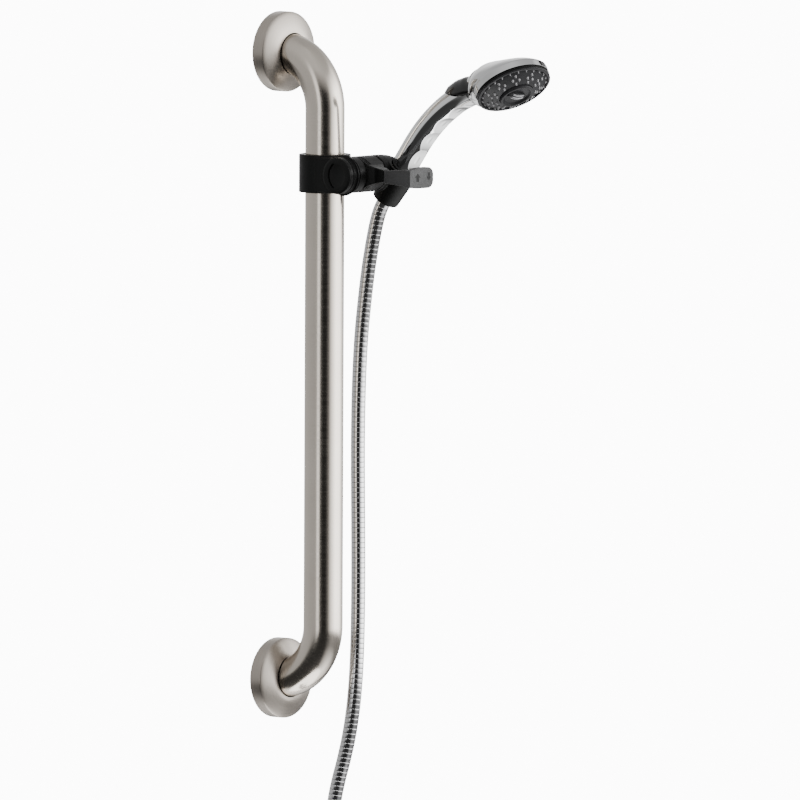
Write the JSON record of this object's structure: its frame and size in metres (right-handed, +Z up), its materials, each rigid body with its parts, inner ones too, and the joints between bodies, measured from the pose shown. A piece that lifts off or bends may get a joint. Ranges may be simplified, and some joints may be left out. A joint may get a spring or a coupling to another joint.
{
  "type": "handheld shower set",
  "caption": "Wall-mounted straight grab bar with a sliding lever holder, a chromed hand shower and its metal hose.",
  "frame": {"origin": "centre of the upper wall plate's back face, on the wall", "axes": "+Y into the wall, +Z up along the bar, +X to the right as seen facing the wall"},
  "size_m": [0.1168, 0.2994, 1.1073],
  "materials": {
    "brushed_nickel": "satin brushed nickel",
    "steel": "plain stainless steel",
    "white_plastic": "moulded acetal",
    "black_plastic": "satin black moulding",
    "gloss_black": "glossy black moulding",
    "grey_plastic": "satin grey moulding",
    "rubber": "matte black rubber",
    "brass": "turned brass",
    "chromed_plastic": "mirror chrome plating on plastic",
    "chrome": "mirror chrome",
    "face_plastic": "dark grey moulding",
    "nozzle_rubber": "grey silicone",
    "hose_metal": "bright metal rings over a hollow hose",
    "tie": "black strap"
  },
  "bodies": {
    "bar": {"bar_tube": "brushed_nickel", "wall_plate_upper": "steel", "wall_plate_lower": "steel"},
    "cover_upper": {"flange_cover_upper": "brushed_nickel"},
    "cover_lower": {"flange_cover_lower": "brushed_nickel"},
    "carriage": {"slide_liner": "white_plastic"},
    "slider": {"slider_body": "black_plastic", "slider_end_cap": "black_plastic", "brake_spring": "steel", "pivot_bolt": "steel", "tilt_washer": "rubber"},
    "brake": {"brake_shoe": "rubber"},
    "lever": {"lever_yoke": "black_plastic", "lever_paddle": "grey_plastic", "lever_spring": "steel"},
    "cradle": {"cradle": "black_plastic", "hub_insert": "brass"},
    "handset": {"handle_shell": "chromed_plastic", "head_shell": "chromed_plastic", "water_tube": "white_plastic", "inlet_nipple": "brass", "check_valve": "white_plastic", "flow_disc": "black_plastic", "inlet_washer": "rubber", "hose_sleeve": "chrome", "bezel_ring": "black_plastic", "face_plate": "face_plastic", "nozzle_mat": "nozzle_rubber", "centre_screw": "steel", "diverter_plate": "white_plastic", "face_seal": "rubber", "pause_spring": "steel"},
    "selector": {"selector_hub": "face_plastic"},
    "wheel": {"massage_wheel": "white_plastic"},
    "pause": {"pause_button": "gloss_black", "pause_plunger": "steel"},
    "nut": {"hose_nut": "chrome"},
    "hose": {"hose_tube": "hose_metal", "hose_hank": "hose_metal", "hank_tie": "tie", "far_sleeve": "chrome", "far_washer": "rubber"},
    "far_nut": {"far_nut": "chrome"}
  },
  "joints": [
    {"name": "cover_upper_slide", "type": "hinge", "parent": "bar", "child": "cover_upper", "pos_m": [0, -0.0063, -0.054], "axis": [1, 0, 0], "range_deg": [0, 25]},
    {"name": "cover_lower_slide", "type": "hinge", "parent": "bar", "child": "cover_lower", "pos_m": [0, -0.0063, -0.5556], "axis": [-1, 0, 0], "range_deg": [0, 25]},
    {"name": "holder_slide", "type": "slide", "parent": "bar", "child": "carriage", "axis": [0, 0, 1], "range_m": [-0.41, 0.03]},
    {"name": "holder_swivel", "type": "hinge", "parent": "carriage", "child": "slider", "pos_m": [0, -0.0603, -0.1155], "axis": [0, 0, 1], "range_deg": [-60, 25]},
    {"name": "lever_press", "type": "hinge", "parent": "slider", "child": "lever", "pos_m": [0, -0.0968, -0.1155], "axis": [1, 0, 0], "range_deg": [0, 15], "stiffness_Nm_per_rad": 1.2, "springref_deg": -5.73},
    {"name": "brake_release", "type": "slide", "parent": "slider", "child": "brake", "axis": [0, -1, 0], "range_m": [0, 0.001]},
    {"name": "cradle_tilt", "type": "hinge", "parent": "slider", "child": "cradle", "pos_m": [0, -0.0968, -0.1155], "axis": [1, 0, 0], "range_deg": [-30, 15]},
    {"name": "handset_lift", "type": "slide", "parent": "cradle", "child": "handset", "axis": [0, -0.5878, 0.809], "range_m": [0, 0.06]},
    {"name": "spray_select", "type": "hinge", "parent": "handset", "child": "selector", "pos_m": [0.03701, -0.26992, -0.02657], "axis": [-0.1661, -0.5901, -0.7901], "range_deg": [-45, 45]},
    {"name": "massage_spin", "type": "hinge", "parent": "handset", "child": "wheel", "pos_m": [0.03701, -0.26992, -0.02657], "axis": [-0.1661, -0.5901, -0.7901], "continuous": true},
    {"name": "pause_press", "type": "slide", "parent": "handset", "child": "pause", "axis": [-0.1491, -0.3826, -0.9118], "range_m": [0, 0.0012], "stiffness_N_per_m": 600, "springref_m": -0.001},
    {"name": "hose_nut_spin", "type": "hinge", "parent": "handset", "child": "nut", "pos_m": [0.05, -0.095, -0.142], "axis": [0, -0.5878, 0.809], "continuous": true},
    {"name": "hose_hang", "type": "hinge", "parent": "handset", "child": "hose", "pos_m": [0.05, -0.0935, -0.144], "axis": [1, 0, 0], "range_deg": [-16, 31], "deforming": ["hose_tube"]},
    {"name": "far_nut_spin", "type": "hinge", "parent": "hose", "child": "far_nut", "pos_m": [0.05, -0.0156, -1.04], "axis": [0, 0, 1], "continuous": true}
  ],
  "couplings": [
    {"joint": "brake_release", "follows": "lever_press", "m_per_rad": 0.00374},
    {"joint": "hose_hang", "follows": "cradle_tilt", "ratio": -1}
  ]
}
